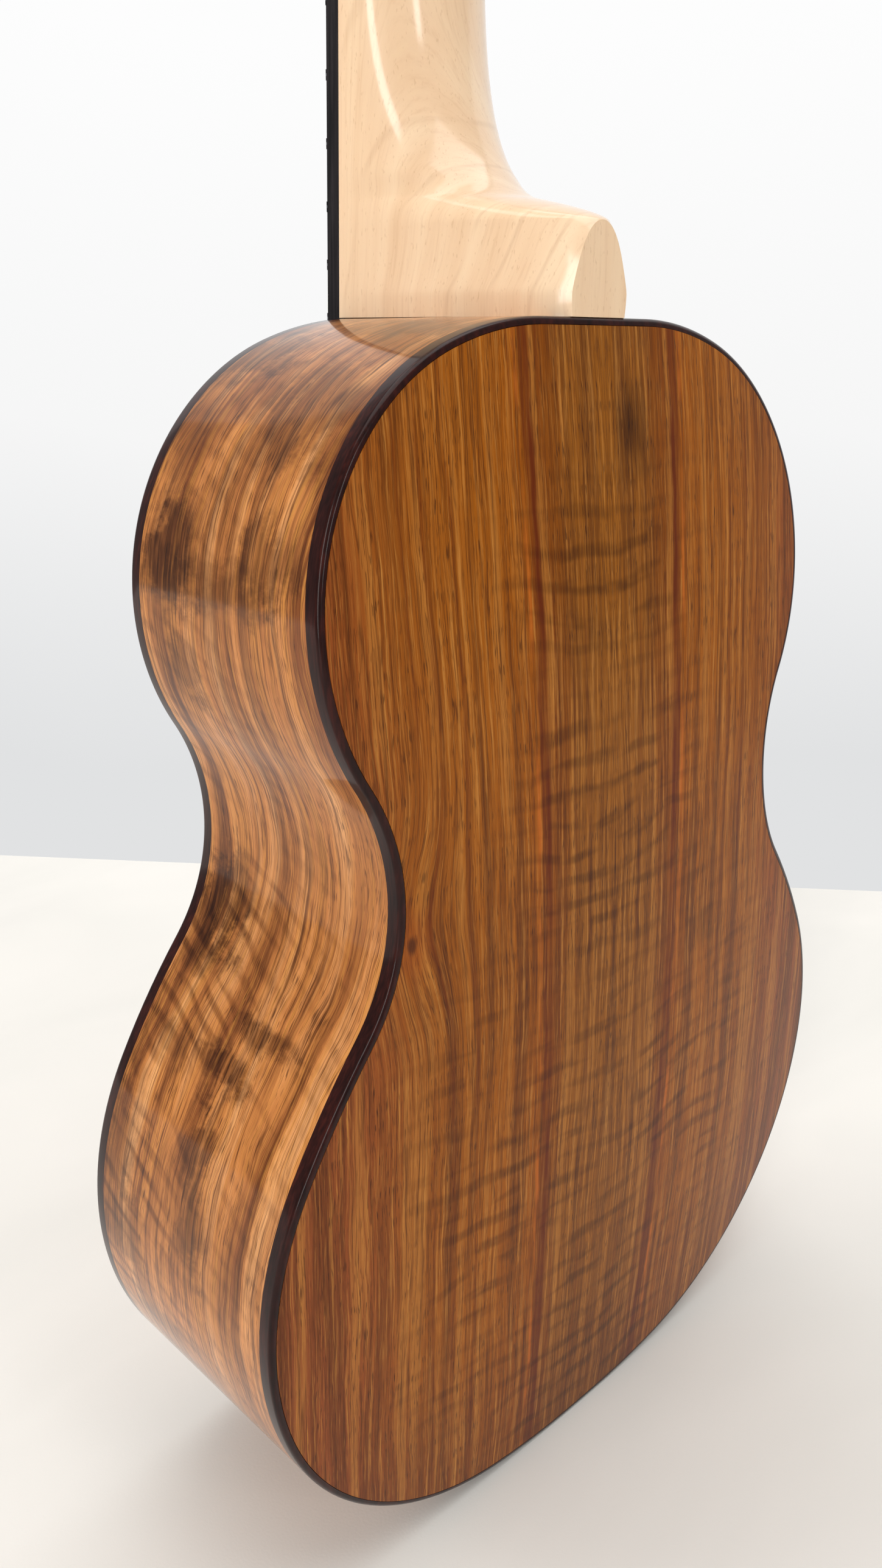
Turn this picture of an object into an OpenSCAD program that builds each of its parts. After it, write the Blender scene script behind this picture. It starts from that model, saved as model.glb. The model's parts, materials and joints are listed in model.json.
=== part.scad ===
// Concert ukulele with a domed back, dark bindings, a maple neck and four geared tuners.
// Millimetres. +Z runs up the neck, the soundboard faces -Y and the back faces +Y.
// The origin is the middle of the small flat on the tail.

/* [Body outline] */
// Width of the flat at the middle of the tail
tail_flat = 12; // [10:1:16]
// Radius of the nearly straight stretch beside the tail flat
tail_r = 197; // [180:1:220]
// Degrees that the tail stretch turns
tail_deg = 8; // [7:0.5:9]
// Radius of the lower bout
lower_r = 79; // [76:0.5:82]
// Degrees that the lower bout turns
lower_deg = 110.5; // [109:0.5:112]
// Radius of the easy stretch between the lower bout and the waist
flank_r = 182; // [160:1:200]
// Degrees that the easy stretch turns
flank_deg = 9.5; // [8:0.5:11]
// Radius of the waist
waist_r = 45.5; // [43:0.5:48]
// Degrees that the waist turns back
waist_deg = 69; // [68:0.5:70]
// Radius of the upper bout
upper_r = 55.5; // [53:0.5:57]
// Degrees that the upper bout turns
upper_deg = 101; // [100:0.5:102]
// Radius of the shoulder beside the neck
shoulder_r = 79; // [74:1:84]

/* [Body depth and skins] */
// Distance from the soundboard's face to the back at the tail
tail_depth = 68.5; // [66:0.5:71]
// Radius of the domed back
dome_r = 1275; // [1200:5:1400]
// Height of the dome's highest point above the tail
dome_z = 94; // [88:1:100]
// Thickness of the soundboard
top_t = 2; // [1.8:0.1:2.4]
// Thickness of the back plate
back_t = 2; // [1.8:0.1:2.4]
// Thickness of the sides and of the bindings
side_t = 1.6; // [1.5:0.1:2]
// Height of the bindings on the sides
bind_h = 3.6; // [3.2:0.1:4.2]
// Width of the glued linings, measured inwards
lining_w = 5.2; // [4.5:0.1:6]
// Height of the linings
lining_h = 9; // [8:0.5:11]

/* [Soundhole and bridge] */
// Radius of the soundhole
hole_r = 28; // [26:0.5:29]
// Height of the soundhole's centre above the tail
hole_z = 187; // [185:0.5:188]
// Half length of the bridge
bridge_half = 38; // [36:0.5:41]
// Spacing of the strings at the saddle
saddle_gap = 14; // [13:0.25:14.5]

/* [Neck] */
// Vibrating length of the strings, from nut to saddle
scale_len = 381; // [376:1:386]
// Number of frets on the fretboard
fret_count = 18; // [17:1:18]
// Half width of the fretboard at the body
join_half = 21.4; // [21:0.1:22]
// Half width of the fretboard at the nut
nut_half = 17.5; // [17:0.1:18.5]
// Thickness of the fretboard
board_t = 4.3; // [3.6:0.1:4.6]
// Distance from the fretboard's underside to the flat end of the heel
heel_depth = 58; // [57.4:0.1:59.2]
// Spacing of the strings at the nut
nut_gap = 9.3; // [9:0.1:9.6]

/* [Headstock and tuners] */
// Angle that the headstock leans back, in degrees
head_tilt = 12; // [10:0.5:14]
// Length of the headstock
head_len = 126; // [122:1:132]
// Thickness of the headstock's maple
head_t = 11; // [10.5:0.1:11.5]
// Thickness of the headstock's face veneer
veneer_t = 1.5; // [1.2:0.1:2]
// Distance of the tuner posts from the centre line
post_x = 16.5; // [16:0.5:17]
// Teeth on each tuner's gear
gear_teeth = 14; // [14:1:14]

/* [Hidden] */
$fn = 48;

eps = 0.01;
facet_deg = 6;
top_y = -tail_depth / 2;
shoulder_deg = 180 - tail_deg - lower_deg - flank_deg + waist_deg - upper_deg;
// Each stretch of the half outline: its radius, negative where it bends outwards, and its turn
stretches = [
    [tail_r, tail_deg], [lower_r, lower_deg], [flank_r, flank_deg],
    [-waist_r, waist_deg], [upper_r, upper_deg], [shoulder_r, shoulder_deg]
];
body_len = stretch_start(len(stretches))[0][1];
dome_sag = dome_r - sqrt(dome_r * dome_r - dome_z * dome_z);
dome_y = top_y + tail_depth + dome_sag;

block_z = 22;
neck_block_half = 24;
tail_block_half = 22;
tail_block_z = 13;
brace_w = 6;
rosette_in = hole_r + 3.5;
rosette_out = hole_r + 7.5;
rosette_t = 1;

join_frac = pow(2, -12 / 12);
join_to_saddle = scale_len * join_frac;
join_to_nut = scale_len - join_to_saddle;
saddle_z = body_len - join_to_saddle;
nut_z = body_len + join_to_nut;
nut_t = 4.5;
slot_gap = 0.06;
board_face_y = top_y - board_t;
board_end_z = fret_z(fret_count) - 4;
fret_h = 1;
nut_string_y = board_face_y - fret_h - 0.9;
saddle_string_y = nut_string_y - 4.2;
saddle_crown = 1.2;
marker_frets = [5, 7, 10, 12, 15];

head_z = nut_z + nut_t;
post_lo = 34;
post_hi = 82;
post_r = 3;
shank_r = 2.4;
bush_r = 3.9;
run_gap = 0.06;
plate_t = 1.2;
gear_m = 0.5;
gear_r = gear_teeth * gear_m / 2;
worm_r = 2.3;
worm_pitch = PI * gear_m;
worm_turns = 4;
worm_sides = 12;
mesh_n = head_t + plate_t + 2.85;
gear_half = 1;
worm_s = gear_r + worm_r;
shaft_r = 1.3;
lug_in = 3.6;
lug_t = 1.6;
button_x = 33;
button_len = 15;

// Strings from the bass side: their side of the headstock, order from the bass side,
// post height and radius
g_string = [-1, 0, post_lo, 0.33];
c_string = [-1, 1, post_hi, 0.45];
e_string = [1, 2, post_hi, 0.38];
a_string = [1, 3, post_lo, 0.3];

// ---- Outline of the body ----

// Place and heading, in degrees, at which stretch i starts
function stretch_start(i) = i == 0 ? [[tail_flat / 2, 0], 0] :
    let (s = stretch_start(i - 1), r = stretches[i - 1][0],
         h = s[1] + sign(r) * stretches[i - 1][1])
    [stretch_centre(i - 1) + r * [sin(h), -cos(h)], h];

function stretch_centre(i) =
    let (s = stretch_start(i)) s[0] + stretches[i][0] * [-sin(s[1]), cos(s[1])];

// Points of the half outline on the +X side, from tail to neck, moved inwards by inset
function rim(inset) = [
    for (i = [0 : len(stretches) - 1])
        let (s = stretch_start(i), c = stretch_centre(i), r = stretches[i][0],
             steps = ceil(stretches[i][1] / facet_deg))
        for (k = [0 : steps - (i < len(stretches) - 1 ? 1 : 0)])
            let (h = s[1] + sign(r) * stretches[i][1] * k / steps)
            c + (r - inset) * [sin(h), -cos(h)]
];

function reversed(list) = [for (i = [len(list) - 1 : -1 : 0]) list[i]];

function mirrored(list) = [for (p = list) [-p[0], p[1]]];

function whole_rim(inset) = concat(rim(inset), reversed(mirrored(rim(inset))));

// Half of a band that follows the rim, between two insets, starting at tail_x
module rim_band(inset_out, inset_in, tail_x = 0) {
    outer = concat([[tail_x, inset_out]], rim(inset_out), [[0, body_len - inset_out]]);
    inner = concat([[tail_x, inset_in]], rim(inset_in), [[0, body_len - inset_in]]);
    polygon(concat(outer, reversed(inner)));
}

// Raises an X-Z outline between two depths
module slab(y0, y1) {
    translate([0, y1, 0]) rotate([90, 0, 0]) linear_extrude(y1 - y0) children();
}

// Runs a Y-Z outline between two widths
module run_x(x0, x1) {
    translate([x0, 0, 0]) rotate([90, 0, 90]) linear_extrude(x1 - x0) children();
}

// Everything inside the back's dome, moved in by a depth
module dome(depth) {
    translate([0, dome_y - dome_r, dome_z]) sphere(r = dome_r - depth, $fn = 256);
}

// Everything between two depths under the back's dome
module under_dome(depth_out, depth_in) {
    difference() {
        intersection() {
            children();
            dome(depth_out);
        }
        dome(depth_in);
    }
}

module bass_half() {
    mirror([1, 0, 0]) children();
}

// ---- Body ----

module soundboard() {
    color("#a8713a") difference() {
        slab(top_y, top_y + top_t) polygon(whole_rim(side_t));
        translate([0, top_y - 1, hole_z]) rotate([-90, 0, 0]) cylinder(r = hole_r, h = top_t + 2);
        rosette_ring(1);
    }
}

// The rosette, with extra height above the soundboard when it cuts its own channel
module rosette_ring(extra) {
    translate([0, top_y - extra, hole_z]) rotate([-90, 0, 0]) difference() {
        cylinder(r = rosette_out, h = rosette_t + extra);
        translate([0, 0, -1]) cylinder(r = rosette_in, h = rosette_t + extra + 2);
    }
}

module rosette() {
    color("#3a1f16") rosette_ring(0);
}

// The back is two matched halves, glued along the centre
module back_plate_treble() {
    color("#9a5a26") under_dome(0, back_t) slab(top_y + 40, dome_y + 1)
        polygon(concat([[0, side_t]], rim(side_t), [[0, body_len - side_t]]));
}

module back_plate_bass() {
    bass_half() back_plate_treble();
}

module side_treble() {
    color("#b27a45") difference() {
        intersection() {
            slab(top_y + bind_h, dome_y + 1) rim_band(0, side_t, 5);
            dome(bind_h);
        }
        bolt_line() cylinder(r = 2.6, h = 20, center = true);
    }
}

module side_bass() {
    bass_half() side_treble();
}

module top_binding_treble() {
    color("#2a1512") slab(top_y, top_y + bind_h) rim_band(0, side_t);
}

module top_binding_bass() {
    bass_half() top_binding_treble();
}

module back_binding_treble() {
    color("#2a1512") under_dome(0, bind_h) slab(top_y + 40, dome_y + 1) rim_band(0, side_t);
}

module back_binding_bass() {
    bass_half() back_binding_treble();
}

module end_graft() {
    color("#2a1512") intersection() {
        translate([-5, top_y + bind_h, 0]) cube([10, tail_depth, side_t]);
        dome(bind_h);
    }
}

module neck_block() {
    color("#a86b45") difference() {
        intersection() {
            slab(top_y + top_t, dome_y + 1) polygon(whole_rim(side_t));
            dome(back_t);
            translate([-neck_block_half, top_y, body_len - side_t - block_z])
                cube([2 * neck_block_half, 100, block_z + 1]);
        }
        bolt_line() cylinder(r = 2.6, h = 2 * block_z + 20, center = true);
    }
}

module tail_block() {
    color("#a86b45") intersection() {
        slab(top_y + top_t, dome_y + 1) polygon(whole_rim(side_t));
        dome(back_t);
        translate([-tail_block_half, top_y, 0]) cube([2 * tail_block_half, 100, side_t + tail_block_z]);
    }
}

// The room that the two end blocks take between the linings
module block_room() {
    translate([-neck_block_half, top_y - 1, body_len - 60]) cube([2 * neck_block_half, 120, 80]);
    translate([-tail_block_half, top_y - 1, -10]) cube([2 * tail_block_half, 120, 50]);
}

module top_lining_treble() {
    color("#b98b5a") difference() {
        slab(top_y + top_t, top_y + top_t + lining_h) rim_band(side_t, side_t + lining_w);
        block_room();
    }
}

module top_lining_bass() {
    bass_half() top_lining_treble();
}

module back_lining_treble() {
    color("#b98b5a") difference() {
        under_dome(back_t, back_t + lining_h)
            slab(top_y + 30, dome_y + 1) rim_band(side_t, side_t + lining_w);
        block_room();
    }
}

module back_lining_bass() {
    bass_half() back_lining_treble();
}

// A brace across the back at a height, following the dome, with its ends thinned
module back_brace(z, half, tall) {
    color("#d9bd8c") difference() {
        under_dome(back_t, back_t + tall)
            translate([-half, dome_y - 40, z - brace_w / 2]) cube([2 * half, 60, brace_w]);
        for (side = [-1, 1])
            translate([side * half, dome_y - back_t - tall - 4, z]) rotate([0, 0, side * 25])
                cube([60, 2 * tall + 8, 2 * brace_w], center = true);
    }
}

module back_brace_upper() {
    back_brace(222, 72, 12);
}

module back_brace_middle() {
    back_brace(165, 58, 11);
}

module back_brace_lower() {
    back_brace(82, 94, 11);
}

// Cross-grained strips that back the centre joint between the braces
module back_seam_strips() {
    gap = brace_w / 2 + 0.5;
    color("#d9bd8c") for (span = [[18, 82 - gap], [82 + gap, 165 - gap], [165 + gap, 222 - gap],
                                  [222 + gap, 253]])
        under_dome(back_t, back_t + 1.6)
            translate([-8, dome_y - 30, span[0]]) cube([16, 40, span[1] - span[0]]);
}

// A brace across the inside of the soundboard at a height
module top_brace(z, half) {
    y0 = top_y + top_t;
    color("#d9bd8c") translate([0, 0, z - brace_w / 2]) linear_extrude(brace_w)
        polygon([[-half, y0], [half, y0], [half, y0 + 3], [half * 0.75, y0 + 10],
                 [-half * 0.75, y0 + 10], [-half, y0 + 3]]);
}

module upper_top_brace() {
    top_brace(hole_z + hole_r + 6, 72);
}

module lower_top_brace() {
    top_brace(hole_z - hole_r - 6, 56);
}

// A light brace below the soundhole, leaning away from the centre by an angle
module fan_brace(x, lean) {
    y0 = top_y + top_t;
    tall = 6;
    length = 98;
    color("#d9bd8c") translate([x, y0, 82]) rotate([0, lean, 0]) translate([0, 0, -length / 2])
        translate([-2, 0, 0]) run_x(0, 4)
            polygon([[0, 0], [0, length], [1.5, length], [tall, length * 0.75],
                     [tall, length * 0.3], [1.5, 0]]);
}

module fan_brace_bass() {
    difference() {
        fan_brace(-30, 10);
        bridge_plate_room();
    }
}

module fan_brace_centre() {
    difference() {
        fan_brace(0, 0);
        bridge_plate_room();
    }
}

module fan_brace_treble() {
    difference() {
        fan_brace(30, -10);
        bridge_plate_room();
    }
}

module bridge_plate_room() {
    translate([-40, top_y + top_t - 1, saddle_z - 20]) cube([80, 1 + 1.8, 28]);
}

module bridge_plate() {
    color("#6b3b22") translate([-40, top_y + top_t, saddle_z - 20]) cube([80, 1.8, 28]);
}

// ---- Bridge ----

module bridge() {
    color("#4a2a1c") difference() {
        union() {
            run_x(-28, 28) polygon([
                for (p = [[0, 6], [5, 5.2], [7, 3], [7, -3], [3, -7.2], [3, -8.6], [6.4, -8.6],
                          [6.8, -9.2], [6.8, -14], [5.6, -15.4], [0, -15.8]])
                    [top_y - p[0], saddle_z + p[1]]]);
            run_x(-bridge_half, bridge_half) polygon([
                for (p = [[0, 6], [2.2, 5.4], [3, 4.2], [3, -14], [2.2, -15.2], [0, -15.8]])
                    [top_y - p[0], saddle_z + p[1]]]);
        }
        translate([-26.05, top_y - 10, saddle_z - 1.25]) cube([52.1, 7, 2.5]);
        for (k = [0 : 3])
            translate([saddle_x(k), top_y - 4.6, saddle_z - 20]) cylinder(r = 0.7, h = 12.5, $fn = 24);
    }
}

module saddle() {
    color("#efe6cf") translate([0, 0, saddle_z]) union() {
        translate([-26, saddle_string_y + saddle_crown, -saddle_crown])
            cube([52, top_y - 3 - saddle_string_y - saddle_crown, 2 * saddle_crown]);
        translate([-26, saddle_string_y + saddle_crown, 0]) rotate([0, 90, 0])
            cylinder(r = saddle_crown, h = 52);
    }
}

// ---- Neck ----

function fret_z(n) = body_len + join_to_nut - scale_len * (1 - pow(2, -n / 12));

function board_half(z) = join_half + (join_half - nut_half) * (body_len - z) / join_to_nut;

function bezier(p, t) =
    pow(1 - t, 3) * p[0] + 3 * t * pow(1 - t, 2) * p[1] + 3 * t * t * (1 - t) * p[2] + pow(t, 3) * p[3];

// The ridge of the neck's back as [height above the body, depth below the fretboard]
cap_ridge = [[0, 63.2], [8, 65], [13.5, 62.3], [18.6, 58]];
brow_ridge = [[18.6, 58], [19.9, 56.9], [22, 48.2], [24.2, 37.2]];
throat_ridge = [[24.2, 37.2], [26, 30], [36, 15.3], [70, 13.6]];
ridge = concat(
    [[-0.2, 63.2]],
    [for (k = [0 : 8]) bezier(cap_ridge, k / 8)],
    [for (k = [1 : 7]) bezier(brow_ridge, k / 7)],
    [for (k = [1 : 12]) bezier(throat_ridge, k / 12)],
    [[110, 12.9], [150, 12.6], [join_to_nut, 12.4], [join_to_nut + 5, 12.4], [join_to_nut + 12, 12.2]]
);

// How far the heel's section narrows towards its ridge
function heel_pinch(up) = 0.2 * max(0, 1 - pow((up - 17) / 12, 2));

// One D-shaped slice of the neck: its flat side meets the fretboard
function neck_slice(up, depth) =
    let (z = body_len + up, half = board_half(min(z, nut_z)) - max(0, z - nut_z) * 0.25,
         flat = max(0, (z - head_z) * tan(head_tilt)), pinch = heel_pinch(up))
    [for (a = [-90 : 7.5 : 90])
        [half * sin(a) * (1 - pinch * cos(a)), top_y + flat + (depth - flat) * cos(a), z]];

// A closed solid through a list of rings that have the same number of points
module loft(rings) {
    n = len(rings[0]);
    last = len(rings) - 1;
    polyhedron(
        points = [for (r = rings, p = r) p],
        faces = concat(
            [[for (k = [n - 1 : -1 : 0]) k]],
            [[for (k = [0 : n - 1]) last * n + k]],
            [for (i = [0 : last - 1], k = [0 : n - 1])
                [i * n + k, (i + 1) * n + (k + 1) % n, (i + 1) * n + k]],
            [for (i = [0 : last - 1], k = [0 : n - 1])
                [i * n + k, i * n + (k + 1) % n, (i + 1) * n + (k + 1) % n]]
        )
    );
}

// The bolt that holds the neck runs up through the block into the heel
module bolt_line() {
    translate([0, top_y + 30, body_len]) children();
}

// The headstock's own frame: X across, Y out of its back and Z along it
module at_head() {
    translate([0, top_y, head_z]) rotate([-head_tilt, 0, 0]) children();
}

module at_post(string) {
    at_head() translate([string[0] * post_x, 0, string[2]]) children();
}

module every_post() {
    for (string = [g_string, c_string, e_string, a_string]) at_post(string) children();
}

// Half outline of the headstock as [half width, height]
head_flare = [[18, 0], [21, 12], [27.5, 12], [28, 30]];
head_flank = [[28, 30], [28.5, 60], [30, 90], [31, head_len - 12]];
head_crown = [[31, head_len - 12], [31.4, head_len - 4], [16, head_len - 7], [0, head_len]];
head_half = concat(
    [for (k = [0 : 7]) bezier(head_flare, k / 8)],
    [for (k = [0 : 3]) bezier(head_flank, k / 4)],
    [for (k = [0 : 12]) bezier(head_crown, k / 12)]
);

module head_outline() {
    polygon(concat(head_half, reversed(mirrored(head_half))));
}

module neck() {
    color("#e9cfa4") difference() {
        union() {
            intersection() {
                loft([for (r = ridge) neck_slice(r[0], r[1])]);
                translate([-40, top_y - 1, body_len]) cube([80, heel_depth + 1, 400]);
            }
            at_head() slab(0, head_t) head_outline();
        }
        every_post() {
            rotate([-90, 0, 0]) cylinder(r = bush_r, h = 60, center = true);
            screw_places() rotate([-90, 0, 0]) cylinder(r = 1, h = 20, center = true, $fn = 24);
        }
        bolt_line() cylinder(r = 4, h = 28, center = true);
    }
}

module neck_bolt() {
    color("#b0b2b5") bolt_line() difference() {
        union() {
            translate([0, 0, -side_t - block_z - 4]) cylinder(r = 5, h = 4);
            translate([0, 0, -side_t - block_z - 4]) cylinder(r = 2.5, h = 16 + side_t + block_z);
        }
        translate([0, 0, -side_t - block_z - 5]) cylinder(r = 2, h = 3.5, $fn = 6);
    }
}

module neck_insert() {
    color("#c9a14a") bolt_line() difference() {
        translate([0, 0, 0.2]) cylinder(r = 4, h = 13.6);
        cylinder(r = 2.5, h = 40, center = true);
    }
}

module headstock_veneer() {
    color("#4a2a1c") difference() {
        at_head() slab(-veneer_t, 0) head_outline();
        every_post() rotate([-90, 0, 0]) cylinder(r = bush_r, h = 60, center = true);
    }
}

module fretboard() {
    half_end = board_half(board_end_z);
    color("#1c1718") difference() {
        slab(board_face_y, top_y)
            polygon([[-half_end, board_end_z], [half_end, board_end_z],
                     [nut_half, nut_z], [-nut_half, nut_z]]);
        for (n = [1 : fret_count])
            translate([-30, board_face_y - 1, fret_z(n) - 0.3]) cube([60, 1 + 1.6, 0.6]);
        marker_places() cylinder(r = marker_r, h = 2 * marker_t, center = true, $fn = 32);
    }
}

marker_r = 2.4;
marker_t = 1;

module marker_places() {
    for (n = marker_frets, side = n == 12 ? [-1, 1] : [0])
        translate([side * 8, board_face_y, (fret_z(n) + fret_z(n - 1)) / 2])
            rotate([-90, 0, 0]) children();
}

module fret_markers() {
    color("#e8ebe6") marker_places() cylinder(r = marker_r, h = marker_t, $fn = 32);
}

module frets() {
    color("#c9cacc") for (n = [1 : fret_count]) translate([0, board_face_y, fret_z(n)]) {
        half = board_half(fret_z(n)) - 0.15;
        translate([-half, -fret_h, 0]) rotate([0, 90, 0]) intersection() {
            translate([0, 0.35 + 1, 0]) cylinder(r = 1.35, h = 2 * half);
            translate([-1.1, 0, 0]) cube([2.2, fret_h, 2 * half]);
        }
        translate([-half, -eps, -0.28]) cube([2 * half, 1.5, 0.56]);
    }
}

module nut() {
    color("#efe6cf") difference() {
        run_x(-nut_half, nut_half)
            polygon([[top_y, nut_z], [nut_string_y - 0.6, nut_z],
                     [nut_string_y - 0.6, nut_z + nut_t * 0.5],
                     [nut_string_y + 0.4, nut_z + nut_t], [top_y, nut_z + nut_t]]);
        for (string = [g_string, c_string, e_string, a_string])
            translate([nut_x(string[1]), nut_string_y, nut_z]) rotate([-0.6, 0, 0]) {
                cylinder(r = string[3] + slot_gap, h = nut_t * 4, center = true, $fn = 24);
                translate([-string[3] - slot_gap, -5, -nut_t])
                    cube([2 * (string[3] + slot_gap), 5, nut_t * 4]);
            }
    }
}

// ---- Strings ----

function saddle_x(k) = saddle_gap * (k - 1.5);

function nut_x(k) = nut_gap * (k - 1.5);

// A place in the headstock's frame, in the model's frame
function from_head(p) = [
    p[0],
    top_y + p[1] * cos(head_tilt) + p[2] * sin(head_tilt),
    head_z - p[1] * sin(head_tilt) + p[2] * cos(head_tilt)
];

function unit(v) = v / norm(v);

// Ring of points round a place on a route, square to the way the route runs there
function tube_ring(route, i, r, sides) =
    let (d = unit(route[min(i + 1, len(route) - 1)] - route[max(i - 1, 0)]),
         side = unit(cross(d, [0, 1, 0.2])), up = cross(side, d))
    [for (k = [0 : sides - 1])
        route[i] + r * (cos(360 * k / sides) * side + sin(360 * k / sides) * up)];

module tube(route, r, sides = 8) {
    loft([for (i = [0 : len(route) - 1]) tube_ring(route, i, r, sides)]);
}

wound_turns = 2.5;
wound_steps = 16;

// The whole route of a string: knot, tie block, saddle, nut, then the turns on its post
function string_route(string) =
    let (side = string[0], x0 = saddle_x(string[1]), x1 = nut_x(string[1]), r = string[3],
         wind = post_r + r + 0.12, crown = saddle_crown + r + 0.04,
         crown_y = saddle_string_y + saddle_crown, drop = (2 * r + 0.06) / wound_steps)
    concat(
        [[x0, top_y - 4.6, saddle_z - 16.6], [x0, top_y - 4.6, saddle_z - 8],
         [x0, top_y - 6.4, saddle_z - 5]],
        [for (a = [-37, -18, 1]) [x0, crown_y - crown * cos(a), saddle_z + crown * sin(a)]],
        [[x1, nut_string_y, nut_z], [x1, nut_string_y + 0.05, head_z + 0.3]],
        [for (t = [0 : wound_steps * wound_turns])
            from_head([side * (post_x - wind * cos(360 * t / wound_steps)),
                       -veneer_t - 6.2 + drop * t,
                       string[2] + wind * sin(360 * t / wound_steps)])]
    );

module string_along(string) {
    route = string_route(string);
    color("#f0ece0") union() {
        tube(route, string[3]);
        translate(route[0]) sphere(r = 1.1, $fn = 16);
    }
}

module string_g() {
    string_along(g_string);
}

module string_c() {
    string_along(c_string);
}

module string_e() {
    string_along(e_string);
}

module string_a() {
    string_along(a_string);
}

// ---- Tuners ----

module screw_places() {
    for (s = [-7, 12.5]) translate([0, head_t, s]) children();
}

module tuner_plates() {
    color("#c8c9cc") every_post() difference() {
        union() {
            translate([-8, head_t, -10]) cube([16, plate_t, 25.5]);
            for (x = [-lug_in - lug_t, lug_in])
                translate([x, head_t + eps, worm_s - 2.5]) cube([lug_t, mesh_n - head_t + 2.4, 5]);
        }
        rotate([-90, 0, 0]) cylinder(r = shank_r + run_gap, h = 60, center = true);
        translate([-20, mesh_n, worm_s]) rotate([0, 90, 0]) cylinder(r = shaft_r + run_gap, h = 40);
        screw_places() rotate([-90, 0, 0]) cylinder(r = 1.1, h = 20, center = true, $fn = 24);
    }
}

module tuner_screws() {
    color("#b8babd") every_post() screw_places() rotate([-90, 0, 0]) difference() {
        union() {
            translate([0, 0, -6]) cylinder(r = 1, h = 6 + plate_t + eps, $fn = 24);
            translate([0, 0, plate_t]) cylinder(r = 2, h = 1);
        }
        translate([-2.5, -0.25, plate_t + 0.5]) cube([5, 0.5, 1]);
    }
}

module tuner_bushings() {
    color("#c8c9cc") every_post() rotate([-90, 0, 0]) difference() {
        union() {
            translate([0, 0, -veneer_t - 0.8]) cylinder(r = 5, h = 0.8);
            translate([0, 0, -veneer_t - 0.8]) cylinder(r = bush_r, h = 7);
        }
        cylinder(r = shank_r + run_gap, h = 60, center = true);
    }
}

module tuner_post(string) {
    color("#d0d1d4") at_post(string) rotate([-90, 0, 0]) difference() {
        union() {
            translate([0, 0, -veneer_t - 9.2]) cylinder(r = post_r, h = 8.2);
            translate([0, 0, -veneer_t - 10.2]) cylinder(r1 = post_r - 0.8, r2 = post_r, h = 1);
            translate([0, 0, -veneer_t - 1.1]) cylinder(r = shank_r, h = mesh_n - gear_half + veneer_t + 1.1);
            translate([0, 0, -1]) cylinder(r = 1.7, h = mesh_n + gear_half + 1);
            translate([0, 0, mesh_n + gear_half]) cylinder(r = 2.2, h = 0.6);
        }
        translate([0, 0, -veneer_t - 7.6]) rotate([90, 0, 0]) cylinder(r = 0.8, h = 10, center = true, $fn = 24);
    }
}

// A tooth's half width as a share of the pitch, and its radius, at root, pitch line and tip
tooth_shape = [[0.23, -0.55], [0.17, 0], [0.11, 0.45]];

module tuner_gear(string) {
    pitch_deg = 360 / gear_teeth;
    color("#cfa95a") at_post(string) rotate([-90, 0, 0]) translate([0, 0, mesh_n - gear_half])
        difference() {
            linear_extrude(2 * gear_half) polygon([
                for (k = [0 : gear_teeth - 1])
                    for (p = concat([for (q = tooth_shape) [-q[0], q[1]]], reversed(tooth_shape)))
                        let (a = -90 + (k + 0.5 + p[0]) * pitch_deg)
                        (gear_r + p[1]) * [cos(a), sin(a)]
            ]);
            translate([0, 0, -1]) cylinder(r = 1.7, h = 10);
        }
}

// Radius of the worm, by the angle round from the middle of its thread
function worm_slice_r(a) =
    let (off = min(a, 360 - a))
    off <= 35 ? worm_r + 0.45 : worm_r + 0.45 - min(1, (off - 35) / 50) * 1.05;

// The worm's slice a number of turns along its thread
function worm_slice(turn) = [
    for (k = [0 : worm_sides - 1])
        let (a = 360 * k / worm_sides, r = worm_slice_r((360 * (turn + 1) - a) % 360))
        [(turn - worm_turns / 2) * worm_pitch, -r * sin(a), -r * cos(a)]
];

module at_worm(string) {
    at_post(string) translate([0, mesh_n, worm_s]) children();
}

module tuner_worm(string) {
    inner = lug_in + lug_t + 0.6;
    outer = button_x + 6 - post_x;
    color("#c8c9cc") at_worm(string) {
        loft([for (k = [0 : worm_sides * worm_turns]) worm_slice(k / worm_sides)]);
        translate([string[0] > 0 ? -inner : -outer, 0, 0])
            rotate([0, 90, 0]) cylinder(r = shaft_r, h = inner + outer);
    }
}

module tuner_button(string) {
    color("#f3efe4") at_worm(string) mirror([string[0] > 0 ? 0 : 1, 0, 0])
        translate([button_x - post_x, 0, 0]) difference() {
            intersection() {
                rotate([0, 90, 0]) rotate_extrude()
                    polygon([[0, 0], [3, 0], [3.4, 2], [6, 3.6], [7.6, 6], [8, 9], [7, 12.4],
                             [4.6, 14.4], [0, button_len]]);
                translate([-1, -3.2, -10]) cube([20, 6.4, 20]);
            }
            translate([-1, 0, 0]) rotate([0, 90, 0]) cylinder(r = shaft_r, h = 7);
        }
}

module tuner_worm_g() {
    tuner_worm(g_string);
}

module tuner_worm_c() {
    tuner_worm(c_string);
}

module tuner_worm_e() {
    tuner_worm(e_string);
}

module tuner_worm_a() {
    tuner_worm(a_string);
}

module tuner_button_g() {
    tuner_button(g_string);
}

module tuner_button_c() {
    tuner_button(c_string);
}

module tuner_button_e() {
    tuner_button(e_string);
}

module tuner_button_a() {
    tuner_button(a_string);
}

module tuner_post_g() {
    tuner_post(g_string);
}

module tuner_post_c() {
    tuner_post(c_string);
}

module tuner_post_e() {
    tuner_post(e_string);
}

module tuner_post_a() {
    tuner_post(a_string);
}

module tuner_gear_g() {
    tuner_gear(g_string);
}

module tuner_gear_c() {
    tuner_gear(c_string);
}

module tuner_gear_e() {
    tuner_gear(e_string);
}

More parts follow.
